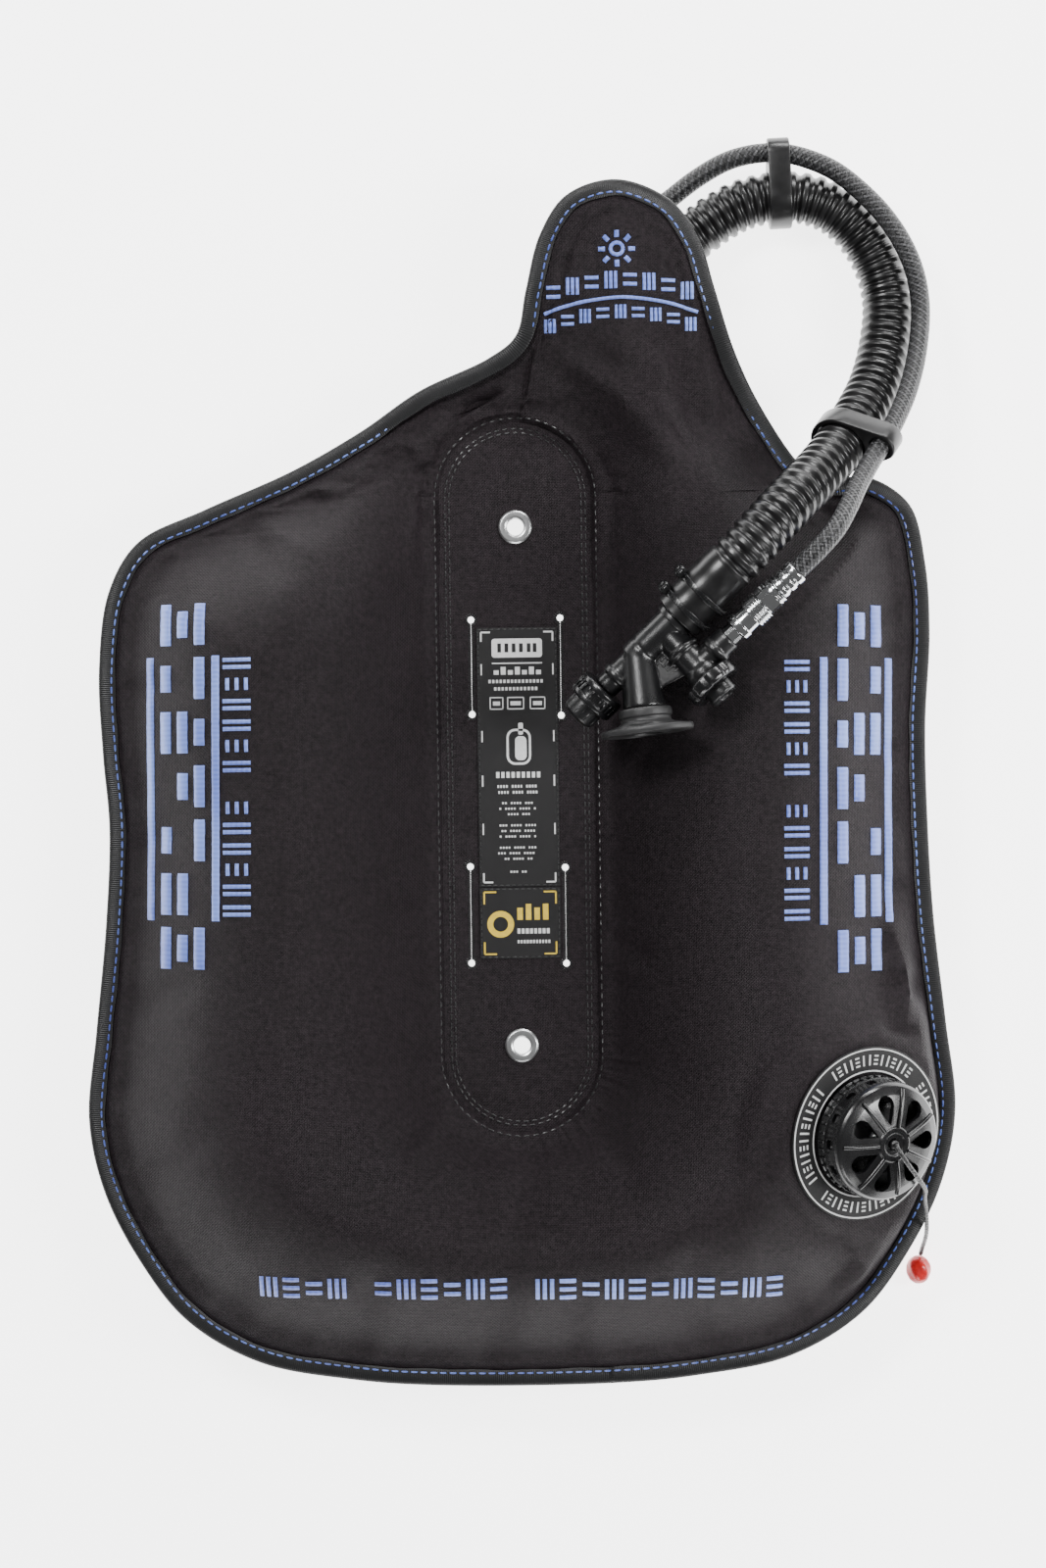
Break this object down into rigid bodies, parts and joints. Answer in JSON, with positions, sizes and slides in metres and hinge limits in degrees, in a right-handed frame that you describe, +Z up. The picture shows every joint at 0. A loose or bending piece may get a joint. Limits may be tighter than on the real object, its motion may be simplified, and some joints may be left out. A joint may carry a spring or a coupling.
{
  "type": "buoyancy compensator wing",
  "caption": "Back-mounted diving buoyancy wing: padded bladder shell with corrugated inflator hose, power inflator, quick disconnect and dump valve.",
  "frame": {"origin": "on the resting plane, midway between the two grommets, which is the middle of the wing's box", "axes": "+Z up out of the diver side, +Y along the wing towards its top lobe, +X across it towards the dump valve"},
  "size_m": [0.466, 0.6736, 0.1281],
  "materials": {
    "fabric": "woven, matt",
    "binding_tape": "woven tape, slight sheen",
    "zip_tape": "woven, matt",
    "bladder_film": "film, satin",
    "stainless": "polished",
    "chrome": "plated",
    "label": "printed satin",
    "zip_metal": "coated",
    "zip_pull": "moulded",
    "moulded": "satin moulded",
    "rubber": "matt",
    "tie": "satin",
    "braid": "braided",
    "cord": "braided",
    "ball": "gloss"
  },
  "bodies": {
    "wing": {"shell_front": "fabric", "shell_back": "fabric", "edge_binding": "binding_tape", "centre_panel": "fabric", "bladder": "bladder_film", "grommet_upper": "stainless", "grommet_upper_washer": "stainless", "grommet_lower": "stainless", "grommet_lower_washer": "stainless", "label_main": "label", "label_patch": "label", "zip_tape_upper": "zip_tape", "zip_tape_lower": "zip_tape", "zip_chain": "zip_metal", "dump_flange": "moulded", "dump_ring_label": "label", "dump_base": "moulded", "dump_cap": "moulded", "dump_seal": "rubber", "dump_spring": "stainless", "elbow_flange": "moulded", "elbow_gasket": "rubber", "elbow_nut": "moulded", "elbow_body": "moulded", "elbow_tie_1": "tie", "elbow_tie_2": "tie", "corrugated_hose": "rubber", "band_upper": "rubber", "band_lower": "rubber", "lp_hose": "braid", "lp_far_ferrule": "chrome", "lp_end_fitting": "chrome", "lp_o_ring": "rubber", "inflator_body": "moulded", "mouthpiece": "rubber", "end_collar": "moulded", "exhaust_spring": "stainless", "inflate_cap": "moulded", "inflate_spring": "stainless", "hose_tie_1": "tie", "hose_tie_2": "tie", "qd_nipple": "chrome", "qd_body": "chrome", "lp_ferrule": "chrome"},
    "dump_poppet": {"dump_poppet": "moulded", "pull_cord": "cord", "pull_ball": "ball"},
    "exhaust_button": {"exhaust_button": "moulded", "exhaust_poppet": "moulded"},
    "inflate_button": {"inflate_button": "moulded", "inflate_stem": "moulded"},
    "qd_collar": {"qd_collar": "chrome"},
    "zip_slider": {"zip_slider": "zip_metal", "zip_pull": "zip_pull"}
  },
  "joints": [
    {"name": "dump_valve_lift", "type": "slide", "parent": "wing", "child": "dump_poppet", "axis": [0.4906, -0.1549, 0.8575], "range_m": [0, 0.0035], "stiffness_N_per_m": 900, "springref_m": -0.004, "deforming": ["dump_spring"]},
    {"name": "exhaust_button_press", "type": "slide", "parent": "wing", "child": "exhaust_button", "axis": [0.7117, 0.6821, 0.168], "range_m": [0, 0.005], "stiffness_N_per_m": 700, "springref_m": -0.003, "deforming": ["exhaust_spring"]},
    {"name": "inflate_button_press", "type": "slide", "parent": "wing", "child": "inflate_button", "axis": [-0.6487, 0.73, -0.2152], "range_m": [0, 0.003], "stiffness_N_per_m": 700, "springref_m": -0.003, "deforming": ["inflate_spring"]},
    {"name": "qd_collar_pull", "type": "slide", "parent": "wing", "child": "qd_collar", "axis": [-0.7117, -0.6821, -0.168], "range_m": [0, 0.004], "stiffness_N_per_m": 800, "springref_m": -0.003},
    {"name": "zip_slider_run", "type": "slide", "parent": "wing", "child": "zip_slider", "axis": [1, 0, 0], "range_m": [0, 0.15]}
  ]
}
